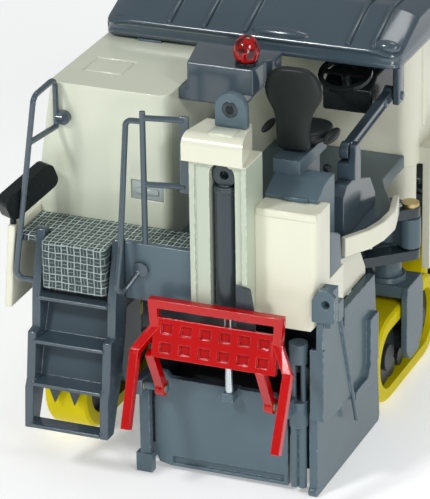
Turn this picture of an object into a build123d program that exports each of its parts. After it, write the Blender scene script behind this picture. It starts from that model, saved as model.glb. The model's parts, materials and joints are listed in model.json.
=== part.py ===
from build123d import *
import os
from math import cos, radians, sin

# Die-cast scale model, 1:50, of a compact rear-loading cold planer on four crawler tracks.
# Millimetres. +Y is forward, +X the machine's right, +Z up, Z = 0 the ground.
# Everything is drawn from one datum: X = 0 on the machine's middle, Y = 0 on the rear face
# of the engine hood. The last lines move it all so that the origin is the foot of the box.

# Clearances
run = 0.05          # a shaft in its sleeve, on the radius
slide = 0.15        # a plate beside its guide
air = 0.3           # curved or soft things of different bodies

# Drum housing
housing_left = -3.5
housing_right = 15.0
housing_rear = -2.4
housing_front = 16.3
housing_top = 14.6
housing_bottom = 2.6
housing_wall = 0.8
drum_radius = 4.6
drum_axle = 1.2
drum_y = 7.0
drum_z = 6.4
pick_length = 1.2
pick_radius = 0.42
pick_turns = 12

# Crawler tracks
track_length = 21.5
track_height = 10.2
track_width = 5.0
band = 1.6          # thickness of the yellow belt
belt_edge = 0.3     # chamfer along the belt's rims
rear_left_track = (-14.7, 10.6)         # x, y of its middle
rear_right_track = (13.0, housing_front + slide + track_length / 2)
front_track_x = 9.6

# Legs
cheek = 0.7         # plates each side of a track
cheek_gap = 0.15
bridge_z = 10.9     # underside of the plate over a track
bridge = 1.4
column_radius = 1.65
column_top = 21.0
sleeve_wall = 0.8

# Bodywork
platform_z = 27.0
platform_rear = -7.8
deck_edge = -4.4    # rear edge of the deck beside the step block
kerb = 0.9          # height of the skirt above the deck
hood_top = 42.0
hood_left_top = -15.4
hood_left_low = -17.2
hood_right = -1.8
hood_corner = 1.1
body_rear = 31.3    # rear face of the full-width front body
body_front = 65.0
body_half = 14.6
body_low = 13.0
body_corner = 2.0
fender_half = 16.0
fender_low = 11.2
skin = 0.9
front_track_y = body_front - track_length / 2 - 0.85

# Chassis
chassis_bottom = 14.6
chassis_top = 24.0
chassis_rear = 1.0
chassis_front = body_front - 4.0
chassis_half = 5.6

# Rear mast and lift
mast_left = 3.0
mast_right = 9.3
mast_rear = -6.0
mast_front = -1.3
mast_low = 20.6
mast_flange = 0.55
cap_low = 37.9
mast_top = 40.8
slot_left = 5.1
slot_right = 7.95
slot_depth = 0.8    # wall left in front of the slot
lift_y = -4.4
lift_radius = 1.28
lift_rod = 0.45
clevis_half = 1.35
clevis_y = (-3.4, -1.9)
tie_z = 43.2        # height of the bore for the conveyor's tie
tie_radius = 0.6

# Operator's place
floor_z = 25.6
floor_side = 16.2
tank_low = 19.35
tank_top = 32.6
tank_rear = -3.6
tank_front = 0.1
seat_x = 10.3
seat_back = 4.4
seat_z = 36.0
seat_socket = 1.8   # height of the block between the pedestal and the seat
seat_width = 4.6
console_left = 13.7
console_right = 15.4
console_top = 31.5
wheel_centre = (10.7, 19.8, 39.1)
wheel_radius = 2.98
wheel_tilt = 20

# Scraper behind the drum
scraper_left = -2.6
scraper_right = 12.7
scraper_thick = 0.8
scraper_low = 0.7
scraper_high = 11.0
scraper_travel = 7.0

# Side plates of the housing
plate_thick = 0.9
plate_travel = 3.0
plate_top = 18.4

# Conveyor bracket
bracket_pivot = (-5.2, 10.9)            # y, z of its pins
bracket_left = -0.85
bracket_right = 13.3
bracket_bar = 0.95
left_leg_x = -0.9
right_leg_x = 11.5
pin_radius = 0.4

# Canopy, folded down onto the hood
canopy_left = -15.4
canopy_right = 18.6
canopy_rear = 14.4
canopy_front = 46.0
canopy_low = 42.4
canopy_rise = 2.6
canopy_slope = 7.0
canopy_wall = 1.0
canopy_rim = 1.9
arm_pivot = (14.4, 9.9, 34.5)           # right arm's lower pin
arm_length = 13.7
arm_rise = 1.35
arm_half = 0.5
arm_depth = 1.3
left_arm_x = -0.6

# Swing gear of the rear right leg
swing_pivot = (rear_right_track[0] + 3.4, rear_right_track[1] - 2.0)
arm_low = 17.4
arm_high = 21.0
screw_radius = 0.7

# Ladder
ladder_left = -14.6
ladder_right = -4.9
stile = 1.1
tread = 0.55
tube_radius = 0.32
tube_sides = 10

made = {}


def block(x, y, z):
    """A box from pairs of low and high limits."""
    return Pos((x[0] + x[1]) / 2, (y[0] + y[1]) / 2, (z[0] + z[1]) / 2) * Box(
        x[1] - x[0], y[1] - y[0], z[1] - z[0])


def rod(start, end, radius):
    """A round bar between two points."""
    way = Vector(*end) - Vector(*start)
    return extrude(Plane(origin=start, z_dir=way) * Circle(radius), amount=way.length)


def plate(axis, outline, limits, corner=0):
    """A flat plate. Its outline lies square to the axis: (y, z), (x, z) or (x, y)."""
    plane, way = {"x": (Plane.YZ, (1, 0, 0)), "y": (Plane.XZ, (0, 1, 0)), "z": (Plane.XY, (0, 0, 1))}[axis]
    face = make_face(Polyline(*outline, close=True))
    if corner:
        face = fillet(face.vertices(), corner)
    flat = plane * face
    return extrude(flat, amount=limits[1] - limits[0], dir=way).moved(
        Location(Vector(*way) * limits[0]))


def tube(points, radius, bend):
    """A bent tube along a path of straight runs and round corners."""
    path = FilletPolyline(*points, radius=bend)
    section = Plane(origin=path @ 0, z_dir=path % 0) * RegularPolygon(radius, tube_sides)
    return sweep(section, path=path)


def bar(start, end, size):
    """A square bar between two points, a little past each so that corners close."""
    way = (end - start).normalized()
    middle = (start + end) / 2
    across = Vector(1, 0, 0)
    return extrude(Plane(origin=middle, x_dir=across - way * across.dot(way), z_dir=way) * Rectangle(size, size),
                   amount=(end - start).length / 2 + size * 0.18, both=True)


def add(name, shape):
    made[name] = shape
    return shape


def track_unit(name, x, y):
    """The yellow belt and the carrier that fills it, with its sprocket, idler and rollers."""
    flat = Plane(origin=(x, y, track_height / 2), x_dir=(0, 1, 0), z_dir=(1, 0, 0))
    inner_length = track_length - 2 * band
    inner_height = track_height - 2 * band
    belt = extrude(flat * SlotOverall(track_length, track_height), amount=track_width / 2, both=True)
    rims = belt.edges().group_by(Axis.X)
    belt = chamfer(rims[0] + rims[-1], belt_edge)
    belt -= extrude(flat * SlotOverall(inner_length, inner_height), amount=track_width, both=True)
    add("track_" + name, belt)

    reach = (track_length - track_height) / 2
    wheel = inner_height / 2
    web = extrude(flat * SlotOverall(inner_length, inner_height), amount=0.9, both=True)
    # along the track, radius, half thickness, sides
    turning = [(-reach, wheel, 1.7, 20), (-reach, 1.5, 2.3, 12), (reach, wheel, 1.7, 20), (reach, 1.2, 2.3, 12)]
    for along, radius, half, sides in turning:
        web += extrude(flat * Pos(along, 0) * RegularPolygon(radius, sides), amount=half, both=True)
    roller = 1.15
    for along in (-0.55 * reach, 0, 0.55 * reach):
        web += extrude(flat * Pos(along, roller - wheel) * RegularPolygon(roller, 10), amount=1.7, both=True)
    web += extrude(flat * RegularPolygon(1.3, 12, major_radius=False), amount=track_width / 2 + cheek_gap, both=True)
    add("carrier_" + name, web)


def leg(name, x, y, top):
    """Yoke with a cheek each side of the track, and the column that it hangs from."""
    out = track_width / 2 + cheek_gap
    middle = track_height / 2
    top_z = bridge_z + bridge
    # y, z from the middle of the track
    side = [(-2.3, top_z), (2.3, top_z), (2.9, bridge_z), (2.9, middle), (1.4, middle - 1.9),
            (-1.4, middle - 1.9), (-2.6, middle - 0.6), (-2.6, bridge_z)]
    outline = [(y + along, height) for along, height in side]
    yoke = plate("x", outline, (x - out - cheek, x - out))
    yoke += plate("x", outline, (x + out, x + out + cheek))
    yoke += block((x - out, x + out), (y - 2.3, y + 2.3), (bridge_z, top_z))
    yoke += rod((x, y, top_z), (x, y, top), column_radius)
    yoke += rod((x, y, top_z), (x, y, top_z + 0.6), column_radius + 0.5)
    add("leg_" + name, yoke)


def tracks():
    places = [("rear_left", *rear_left_track, chassis_top),
              ("rear_right", *rear_right_track, column_top),
              ("front_left", -front_track_x, front_track_y, column_top),
              ("front_right", front_track_x, front_track_y, column_top)]
    for name, x, y, top in places:
        track_unit(name, x, y)
        leg(name, x, y, top)


def chassis():
    """Main frame: a box beam with cross plates and the sleeves of the fixed legs."""
    frame = block((-chassis_half, chassis_half), (chassis_rear, chassis_front), (chassis_bottom, chassis_top))
    for side in (-1, 1):
        x = side * front_track_x
        frame += block(sorted((0, x + side * 2.6)), (front_track_y - 3, front_track_y + 3),
                       (chassis_bottom, chassis_top))
        frame -= rod((x, front_track_y, chassis_bottom - 1), (x, front_track_y, column_top + run),
                     column_radius + run)
    x, y = rear_left_track
    frame += block((x - 2.1, -chassis_half), (y - 3, y + 3), (chassis_bottom, chassis_top))
    frame -= rod((x, y, chassis_bottom - 1), (x, y, chassis_top + 1), column_radius)
    # deck under the operator, carried by the beam
    frame += block((chassis_half, 10.4), (housing_front, body_rear + 1.2), (chassis_bottom, chassis_top))
    add("chassis_frame", frame)


def drum_housing():
    """Box over the milling drum, open below and behind, where the scraper closes it."""
    outline = [(housing_rear, housing_bottom), (housing_rear, housing_top), (housing_front, housing_top),
               (housing_front, 6.5), (housing_front - 2.2, housing_bottom)]
    side = (housing_left, housing_left + housing_wall)
    other = (housing_right - housing_wall, housing_right)
    shell = plate("x", outline, side) + plate("x", outline, other)
    shell += block((housing_left, housing_right), (housing_rear, housing_front),
                   (housing_top - housing_wall, housing_top))
    shell += block((housing_left, housing_right), (housing_front - housing_wall, housing_front),
                   (6.5, housing_top))
    for x in (side, other):
        shell -= rod((x[0] - 1, drum_y, drum_z), (x[1] + 1, drum_y, drum_z), drum_axle + run)
    add("drum_housing", shell)


def milling_drum():
    """Drum with its picks set in two spirals that meet in the middle."""
    left = housing_left + housing_wall + air
    right = housing_right - housing_wall - air
    core = rod((left, drum_y, drum_z), (right, drum_y, drum_z), drum_radius)
    core += rod((housing_left, drum_y, drum_z), (housing_right, drum_y, drum_z), drum_axle)
    pitch = (right - left - 1.4) / pick_turns
    middle = pick_turns / 2
    for row in range(pick_turns + 1):
        x = left + 0.7 + row * pitch
        turn = 42 * abs(row - middle)
        for start in (0, 180):
            angle = radians(turn + start)
            base = Vector(x, drum_y + drum_radius * 0.93 * cos(angle), drum_z + drum_radius * 0.93 * sin(angle))
            lean = angle + radians(35)
            way = Vector(0, cos(lean), sin(lean))
            core += extrude(Plane(origin=base, x_dir=(1, 0, 0), z_dir=way) * RegularPolygon(pick_radius, 6),
                            amount=pick_length, taper=10)
    add("milling_drum", core)


def scraper():
    """Plate that shuts the housing behind the drum and rides up on the lift rod."""
    front = housing_rear - slide
    rear = front - scraper_thick
    left, right, low, high = scraper_left, scraper_right, scraper_low, scraper_high
    shoulder = high - 2.6
    outline = [(left + 0.45, low + 0.3), (left + 1.8, low), (right, low), (right, shoulder),
               (right - 1.5, high + 0.2), (left + 1.9, high + 0.2), (left + 1.4, high + 0.8),
               (left + 0.6, high + 0.8), (left, shoulder), (left, low + 1.5)]
    blade = plate("y", outline, (rear, front))
    blade -= block((left + 2.0, right - 0.5), (rear - 1, rear + 0.4), (low + 0.4, low + 1.2))
    middle = (slot_left + slot_right) / 2
    lug = (high - 0.7, high + 0.3)
    blade += block((middle - 0.6, middle + 0.6), (lift_y - 0.6, front), lug)
    add("scraper_plate", blade)
    add("lift_rod", rod((middle, lift_y, lug[1]), (middle, lift_y, mast_low + 4), lift_rod))


def mast():
    """Slotted mast that holds the lift cylinder, with the clevis for the conveyor's tie on top."""
    middle = (slot_left + slot_right) / 2
    half = (slot_right - slot_left) / 2
    slot_wall = mast_front - slot_depth
    arch = cap_low - half
    post = block((mast_left, mast_right), (mast_rear, mast_front), (mast_low, cap_low))
    post -= block((mast_left + mast_flange, mast_right - mast_flange), (mast_rear - 1, mast_rear + 0.3),
                  (mast_low - 1, cap_low - 0.4))
    post -= block((slot_left, slot_right), (mast_rear - 1, slot_wall), (mast_low - 1, arch))
    post -= rod((middle, mast_rear - 1, arch), (middle, slot_wall, arch), half - 0.01)
    # x, y
    plan = [(mast_left - 0.7, mast_rear - 0.4), (mast_right - 0.2, mast_rear - 0.4),
            (mast_right - 1.1, mast_front), (mast_left + 0.2, mast_front)]
    cap = plate("z", plan, (cap_low, mast_top))
    brow = cap.edges().group_by(Axis.Z)[-1].group_by(Axis.Y)[0]
    add("mast", post + fillet(brow, 1.3))

    low = mast_low + 0.6
    eye = arch - 0.2
    barrel = rod((middle, lift_y, low), (middle, lift_y, eye - 1.2), lift_radius)
    barrel += rod((middle, lift_y, eye - 1.9), (middle, lift_y, eye - 1.5), lift_radius + 0.07)
    barrel += rod((middle, lift_y - 0.6, eye), (middle, lift_y + 0.6, eye), lift_radius)
    barrel += rod((middle, lift_y, eye), (middle, slot_wall, eye), 0.6)
    barrel -= rod((middle, lift_y, low - 1), (middle, lift_y, low + scraper_travel + 5), lift_rod + run)
    barrel -= rod((middle, lift_y - 1, eye), (middle, lift_y + 0.3, eye), 0.5)
    add("lift_cylinder", barrel)

    round_top = (clevis_y[1] - clevis_y[0]) / 2
    lug_y = (clevis_y[0] + clevis_y[1]) / 2
    clevis = block((middle - clevis_half, middle + clevis_half), clevis_y, (mast_top, tie_z + 0.6))
    clevis += rod((middle - clevis_half, lug_y, tie_z + 0.65), (middle + clevis_half, lug_y, tie_z + 0.65), round_top)
    clevis -= block((middle - 0.4, middle + 0.4), (clevis_y[0] - 1, clevis_y[1] + 1), (mast_top + 1.2, tie_z + 3))
    clevis -= rod((middle - 3, lug_y, tie_z), (middle + 3, lug_y, tie_z), tie_radius)
    add("mast_clevis", clevis)

    # x, z of the grey foot plate at the mast's lower right
    foot = [(mast_right - 1.25, 24.75), (mast_right + 0.45, 24.5), (mast_right + 1.0, 21.3),
            (mast_right + 1.0, 18.5), (mast_right - 1.15, 18.5)]
    add("mast_foot", plate("y", foot, (mast_rear - 0.3, mast_rear)))


def bracket():
    """Red carrier for the discharge conveyor, hinged on two pins behind the housing."""
    pivot_y, pivot_z = bracket_pivot
    # y, z, outward shift: the arm from the top bar down to its free end
    way = [(-6.95, 21.7, 0), (-6.95, 18.9, -0.2), (-8.6, 16.5, 1.5), (-11.8, 9.0, 1.35)]
    half = bracket_bar / 2
    frame = block((bracket_left - half, bracket_right + half), (way[0][0] - half, way[0][0] + half),
                  (way[0][1] - half, way[0][1] + half))
    for foot, side in ((bracket_left, -1), (bracket_right, 1)):
        for (y0, z0, out0), (y1, z1, out1) in zip(way, way[1:]):
            start = Vector(foot + side * out0, y0, z0)
            end = Vector(foot + side * out1, y1, z1)
            frame += bar(start, end, bracket_bar)
    top = Vector(0, -6.8, 20.0)
    low = Vector(0, -8.0, 15.9)
    slope = (low - top).normalized()
    normal = Vector(0, slope.Z, -slope.Y)
    width = bracket_right - bracket_left - 0.2
    middle = (bracket_left + bracket_right) / 2
    length = (low - top).length
    face = Plane(origin=(middle, (top.Y + low.Y) / 2, (top.Z + low.Z) / 2), x_dir=(1, 0, 0), z_dir=normal)
    panel = extrude(face * Rectangle(width, length), amount=0.35, both=True)
    for spot in GridLocations(width / 6.4, length / 2.1, 6, 2):
        panel -= extrude(face * Pos(0, 0, -0.1) * spot * Rectangle(1.3, 1.1), amount=1)
    frame += panel
    for x in (left_leg_x, right_leg_x):
        frame += bar(Vector(x, low.Y + 0.1, low.Z + 0.2), Vector(x, pivot_y, pivot_z), bracket_bar)
        frame += rod((x - half, pivot_y, pivot_z), (x + half, pivot_y, pivot_z), 0.85)
        frame -= rod((x - 1, pivot_y, pivot_z), (x + 1, pivot_y, pivot_z), pin_radius + run)
    add("conveyor_bracket", frame)


def housing_guides():
    """Collars, rods and lugs bolted behind the housing, which carry the bracket's pins."""
    pivot_y, pivot_z = bracket_pivot
    x = (scraper_right + air + housing_right) / 2
    y = housing_rear - 1.1
    collar = housing_right - x
    guide = rod((x, y, 15.7), (x, y, 17.9), collar)
    guide += rod((x, y, 8.3), (x, y, 11.2), collar)
    guide += block((x - collar, housing_right), (y, housing_rear), (8.3, 11.2))
    for side in (-0.55, 0.55):
        guide += rod((x + side, y, 11.0), (x + side, y, 15.9), 0.3)
        guide += rod((x + side * 0.8, y, 1.0), (x + side * 0.8, y, 8.5), 0.45)
    lug = (x - collar, x - collar + 0.8)
    guide += block(lug, (pivot_y - 0.75, y), (pivot_z - 0.9, pivot_z + 0.75))
    guide += rod((right_leg_x - 0.7, pivot_y, pivot_z), (lug[0] + 0.3, pivot_y, pivot_z), pin_radius)
    add("right_guide", guide)

    left_x = housing_left - 0.4
    rear = housing_rear - slide - scraper_thick
    lever = block((left_x, scraper_left - air), (pivot_y - 0.75, housing_rear), (pivot_z - 0.9, pivot_z + 0.75))
    lever += block((left_x, scraper_left - slide), (rear - 1.1, rear - air), (0.9, pivot_z - 0.4))
    lever += block((left_x - 0.45, scraper_left + 0.1), (rear - 1.25, rear - 0.25), (0.1, 2.3))
    lever += rod((left_x + 0.3, pivot_y, pivot_z), (left_leg_x + 0.7, pivot_y, pivot_z), pin_radius)
    add("left_guide", lever)


def side_plates():
    """Skid plates outside the housing, which float up and down, and the cover over the right lift."""
    inner = housing_right + slide
    outer = inner + plate_thick
    front = housing_front
    # y, z
    outline = [(-3.4, 0.35), (-3.1, 0), (front - 0.3, 0), (front, 0.6), (front - 1.8, plate_top),
               (5.0, plate_top), (4.9, 14.0), (-3.4, 9.8)]
    right = plate("x", outline, (inner, outer))
    right += rod((inner, -3.3, 0.55), (outer, -3.3, 0.55), 0.55)
    channel = [(11.8, 14.2), (14.3, 14.2), (14.3, 8.6), (12.2, 6.6), (7.2, 6.6), (7.2, 7.6), (11.0, 7.6), (11.8, 8.6)]
    right += plate("x", channel, (outer, outer + 0.55))
    add("side_plate_right", right)
    left_out = housing_left - slide - plate_thick
    outline = [(-1.6, 0.0), (front, 0.0), (front, 11.0), (-1.6, 11.0)]
    add("side_plate_left", plate("x", outline, (left_out, left_out + plate_thick)))

    # the fixed cover leans out over the plate; its lug takes the lifting cylinder's eye
    out = outer + slide
    cover = [(-3.9, 20.9), (1.0, 19.6), (4.8, 13.5), (4.8, 8.6), (1.0, 8.5), (-4.1, 9.3), (-4.1, 17.5)]
    lift = plate("x", cover, (out, out + 0.7))
    lift += block((out - 0.7, out + 0.8), (-4.1, -3.55), (9.4, 17.5))
    eye = (17.3, 23.0)
    lift += plate("y", [(floor_side - 0.4, 20.9), (18.3, 20.9), (18.3, 23.8), (17.6, 24.6), (16.6, 24.6),
                        (floor_side - 0.4, 23.4)], (tank_rear - 0.7, tank_rear))
    lift += block((floor_side, 17.6), (tank_rear, -1.2), (20.0, 24.0))
    lift -= rod((eye[0], tank_rear - 2, eye[1]), (eye[0], tank_rear + 1, eye[1]), 0.5)
    lift += block((floor_side, 17.3), (-0.3, 1.2), (19.3, 21.5))
    lift += rod((out + 0.75, 0.4, 21.2), (out + 0.75, 6.2, 4.9), 0.22)
    add("plate_cover", lift)


def engine_hood():
    """Left-hand engine hood, wider below, with softened corners, a grooved lid and a latch pocket."""
    # x, z
    outline = [(hood_right, chassis_top), (hood_right, hood_top), (hood_left_top, hood_top),
               (hood_left_top - 0.3, hood_top - 1.4), (hood_left_low, 31.0), (hood_left_low - 0.4, platform_z),
               (hood_left_low + 0.5, platform_z), (hood_left_low + 0.5, chassis_top)]
    hood = plate("y", outline, (0, body_rear))
    rear = hood.faces().sort_by(Axis.Y)[0]
    upright = [edge for edge in rear.edges() if abs((edge @ 1 - edge @ 0).Z) > 1 and edge.center().Z > platform_z]
    hood = fillet(upright, hood_corner)
    groove = block((-13.4, -8.7), (4.15, 8.4), (hood_top - 0.15, hood_top + 1))
    groove -= block((-13.1, -9.0), (4.45, 8.1), (hood_top - 1, hood_top + 2))
    hood -= groove
    hood -= block((-6.2, -2.5), (-1, 0.35), (29.9, 32.1))
    add("engine_hood", hood)


def front_body():
    """Full-width cream body over the front tracks, with fenders and a grille opening."""
    shell = block((-body_half, body_half), (body_rear, body_front), (body_low, hood_top - 0.6))
    shell = fillet(shell.edges().filter_by(Axis.Z), body_corner)
    shell = fillet(shell.edges().group_by(Axis.Z)[-1], 0.9)
    well = block((-body_half - 1, body_half + 1), (body_rear - 1, body_front - 3), (body_low - 1, chassis_top))
    shell -= well
    shell += block((-body_half, body_half), (body_front - 4, body_front), (body_low, chassis_top + 1))
    # x, y of the pillar that comes down beside the deck
    pillar = [(9.8, body_rear), (body_half - body_corner, body_rear), (body_half - 0.6, body_rear + 0.6),
              (body_half - 0.1, body_rear + 1.5), (9.8, body_rear + 1.5)]
    deck_end = plate("z", pillar, (18.8, chassis_top + 0.1))
    deck_end -= block((0, 10.5), (body_rear - 1, body_rear + 3), (10, chassis_top))
    shell += deck_end
    for side in (-1, 1):
        limits = sorted((side * (fender_half - skin), side * fender_half))
        # y, z
        skirt = [(body_rear + 1.9, fender_low), (body_front - 1.5, fender_low), (body_front - 0.4, fender_low + 1.4),
                 (body_front - 0.4, 24.4), (body_front - 2.6, 26.0), (body_rear + 1.9, 26.0)]
        shell += plate("x", skirt, limits)
        inner = sorted((side * (body_half - 0.5), side * fender_half))
        shell += block(inner, (body_rear + 1.9, body_front - 2.6), (chassis_top, 26.0))
    opening = block((-9.5, 9.5), (body_front - 0.9, body_front + 1), (26.5, 38.5))
    add("front_body", shell - opening)
    slats = block((-9.5, 9.5), (body_front - 0.9, body_front - 0.6), (26.5, 38.5))
    for row in range(12):
        z = 27.0 + row
        slats += block((-9.5, 9.5), (body_front - 0.6, body_front - 0.15), (z - 0.28, z + 0.28))
    add("front_grille", slats)


def platform():
    """Rear deck with raised tread, its step block at the ladder and the panel beside it."""
    right_end = mast_left
    left_end = hood_left_low + 0.5
    deck = block((left_end, right_end), (deck_edge, 0), (platform_z - 0.9, platform_z))
    deck += block((left_end, ladder_left), (deck_edge - 1.9, deck_edge), (platform_z - 0.9, platform_z))
    step = block((ladder_left + stile, ladder_right - stile), (platform_rear, deck_edge), (21.6, platform_z))
    step = fillet(step.edges().group_by(Axis.Y)[0].filter_by(Axis.Z), 0.8)
    deck += step
    add("platform_deck", deck)
    panel = block((ladder_right, right_end), (deck_edge - 0.7, deck_edge), (20.7, platform_z + 0.2))
    panel += block((ladder_right, right_end), (deck_edge, chassis_rear), (20.7, 21.6))
    add("side_panel", panel)
    # x, z of the cream skirt along the left side, and its upright beside the deck
    outer = hood_left_low - 0.4
    low = 18.3
    skirt = [(outer, platform_z), (left_end, platform_z), (left_end - 0.7, low), (outer - 0.7, low)]
    side = plate("y", skirt, (-6.9, body_rear))
    side += block((outer, left_end), (-6.9, 0), (platform_z, platform_z + kerb))
    add("left_skirt", side)


def ladder():
    """Leaning four-step ladder with closed upper backs, hung beside the step block by its two cheeks."""
    # y, z down the rear edge of a stile and up its front edge
    stile_shape = [(-5.9, 27.6), (-7.6, 21.4), (-8.0, 17.2), (-9.1, 17.0), (-9.8, 11.9), (-10.3, 11.0), (-10.7, 6.4),
                   (-9.0, 6.4), (-6.6, 12.0), (-5.2, 16.5), (deck_edge, 21.4), (deck_edge, platform_z),
                   (-4.9, 27.6)]
    inner = (ladder_left + stile, ladder_right - stile)
    rails = plate("x", stile_shape, (ladder_left, inner[0]))
    rails += plate("x", stile_shape, (inner[1], ladder_right))
    # y of the lip, y of the back, z of the top
    steps = [(-8.3, -5.0, 20.9), (-9.5, -6.8, 16.3), (-10.5, -8.2, 11.75), (-11.1, -9.4, 7.1)]
    for lip, back, z in steps:
        rails += block(inner, (lip, back + 0.35), (z - tread, z))
        rails += block(inner, (lip, lip + 0.3), (z - tread - 0.4, z))
    for (_, back, z), (_, next_back, next_z) in zip(steps[:2], steps[1:3]):
        rails += plate("x", [(back, z), (back + 0.35, z), (next_back + 0.35, next_z), (next_back, next_z)], inner)
    add("ladder", rails)


def handrails():
    """Bent tube rails each side of the ladder."""
    x = -14.4
    y = -0.5
    foot = (ladder_left, -6.9, 22.0)
    left = tube([(x, y, 37.2), (x, y, 42.6), (x - 0.2, -5.4, 42.3), (x - 2.2, -7.2, 22.2), foot], tube_radius, 0.9)
    left += rod((x, y, 37.2), (x - 0.7, -5.86, 37.2), tube_radius)
    left += rod((x + 0.8, y - 0.1, 38.2), (x + 0.8, 0, 38.2), 0.75)
    left += rod((x, y, 38.2), (x + 0.8, y + 0.05, 38.2), 0.4)
    add("handrail_left", left)
    post_x = -2.6
    y = -4.75
    knob = (post_x - 0.3, deck_edge - 0.7, 24.4)
    way = [(post_x, y, 40.9), (-4.6, -4.5, 40.7), (-4.5, -6.9, 27.4), (-4.5, -8.6, 21.7), (-3.2, -5.4, 24.0)]
    right = tube(way, tube_radius, 0.7)
    right += rod(knob, (knob[0], knob[1] - 0.5, knob[2]), 0.8)
    right += rod((post_x, y, platform_z + 0.2), (post_x, y, 42.0), tube_radius)
    for z in (41.3, 33.9):
        right += rod((post_x, y, z), (1.7, -3.9, z), tube_radius)
    right += block((1.2, 2.2), (-4.1, -3.7), (33.2, 41.7))
    right += block((2.2, mast_left), (-4.1, -3.7), (33.4, 36.6))
    add("handrail_right", right)


def mirror():
    middle = Vector(-16.2, -4.4, 31.1)
    along = Vector(0.38, 0.82, 0.37).normalized()
    head = Plane(origin=middle, x_dir=along, z_dir=(0.9, -0.42, 0.0))
    glass = extrude(head * RectangleRounded(7.2, 2.9, 0.9), amount=0.8, both=True)
    foot = (hood_left_low + 0.05, -6.2, platform_z + kerb)
    glass += rod(foot, middle - along * 2.2, 0.35)
    add("mirror", glass)


def tank():
    """Water tank behind the operator, and the cream panels that run forward below the floor."""
    left = mast_right
    right = floor_side
    outline = [(left, tank_low), (right - 0.8, tank_low), (right, tank_low + 0.95), (right, tank_top), (left, tank_top)]
    body = plate("y", outline, (tank_rear, tank_front))
    corner = body.edges().filter_by(Axis.Z).group_by(Axis.X)[-1].group_by(Axis.Y)[0]
    body = fillet(corner, 0.9)
    body += block((housing_right - 0.6, right), (tank_front, 4.2), (19.2, chassis_top))
    # x, z of the panel that leans in under the floor, clear of the side plate
    lean = [(housing_right, plate_top), (housing_right, plate_top + 0.8), (housing_right - 1.6, chassis_top),
            (housing_right - 2.3, chassis_top), (housing_right - 0.6, plate_top)]
    body += plate("y", lean, (4.2, 14.4))
    add("water_tank", body)


def operator_place():
    """Floor with its curved guard band, seat pedestal, consoles and steering wheel."""
    # x, y round the floor's right edge, and the same edge for the band
    edge = [(15.6, 5.0), (16.35, 6.4), (17.25, 8.0), (17.85, 10.5), (18.0, 13.3), (17.0, 17.5)]
    plan = [(hood_right, 0), (mast_left, 0), (mast_left, mast_front), (mast_right, mast_front),
            (mast_right, tank_front), (floor_side, tank_front), (floor_side, 3.4), *edge, (14.8, 21.5),
            (13.6, 24.0), (13.6, body_rear), (hood_right, body_rear)]
    floor = plate("z", plan, (chassis_top, floor_z))
    slab = [(tank_front, floor_z), (3.4, floor_z), (3.4, 27.85), (tank_front, 29.4)]
    floor += plate("x", slab, (floor_side - 0.9, floor_side))
    add("operator_floor", floor)
    outside = [(17.7, 17.7), (18.75, 13.4), (18.6, 10.3), (17.95, 7.7), (17.0, 6.05), (16.25, 4.65)]
    add("guard_band", plate("z", [*edge, *outside], (chassis_top + 0.5, floor_z + 1.1)))

    # y, z of the pedestal, whose lip lies on the tank
    shelf = seat_z - seat_socket
    side = [(tank_front, floor_z), (tank_front, tank_top), (tank_front - 0.9, tank_top), (tank_front - 0.9, 33.0),
            (2.0, shelf), (4.2, shelf), (4.2, floor_z)]
    base = plate("x", side, (mast_right, 15.2))
    base += block((seat_x - 0.9, seat_x + 1.3), (4.2, 9.5), (floor_z, shelf))
    base += block((seat_x - 1.3, seat_x + 1.7), (2.4, 10.6), (shelf, seat_z - air))
    add("seat_pedestal", base)
    left = seat_x - seat_width / 2
    right = seat_x + seat_width / 2
    seat = block((left, right), (seat_back + 1.4, seat_back + 6.8), (seat_z, seat_z + 1.4))
    seat += block((seat_x - 1.75, seat_x + 1.75), (seat_back, seat_back + 1.4), (seat_z, seat_z + 4.5))
    seat += rod((seat_x, seat_back, seat_z + 5.8), (seat_x, seat_back + 1.4, seat_z + 5.8), 3.1)
    seat += block((right, right + 0.9), (seat_back + 0.4, seat_back + 4.6), (seat_z + 0.6, seat_z + 1.6))
    seat += block((left - 1.3, left), (seat_back + 0.4, seat_back + 4.6), (seat_z + 0.9, seat_z + 1.9))
    add("seat", seat)

    # y, z
    desk = [(6.4, floor_z), (11.8, floor_z), (11.8, console_top), (7.4, console_top), (6.4, console_top - 1.0)]
    panel = plate("x", desk, (console_left, console_right))
    window = [(11.8, floor_z), (17.0, floor_z), (17.0, 27.0), (15.4, 29.3), (11.8, 30.6)]
    panel += plate("x", window, (console_right - 0.7, console_right - 0.2))
    add("side_console", panel)
    tower = [(20.6, 34.3), (body_rear, 34.3), (body_rear, 38.3), (22.5, 38.3), (20.6, 37.0)]
    add("steering_console", plate("x", tower, (wheel_centre[0] - 3.0, wheel_centre[0] + 2.7)))
    tilt = radians(wheel_tilt)
    hub = Plane(origin=wheel_centre, x_dir=(1, 0, 0), z_dir=(0, -sin(tilt), cos(tilt)))
    ring = extrude(hub * (RegularPolygon(wheel_radius, 20) - RegularPolygon(wheel_radius - 0.55, 20)),
                   amount=0.26, both=True)
    ring += extrude(hub * RegularPolygon(0.5, 10), amount=-1.9)
    ring += extrude(hub * Rectangle(2 * wheel_radius - 0.5, 0.5), amount=0.15, both=True)
    add("steering_wheel", ring)


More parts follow.
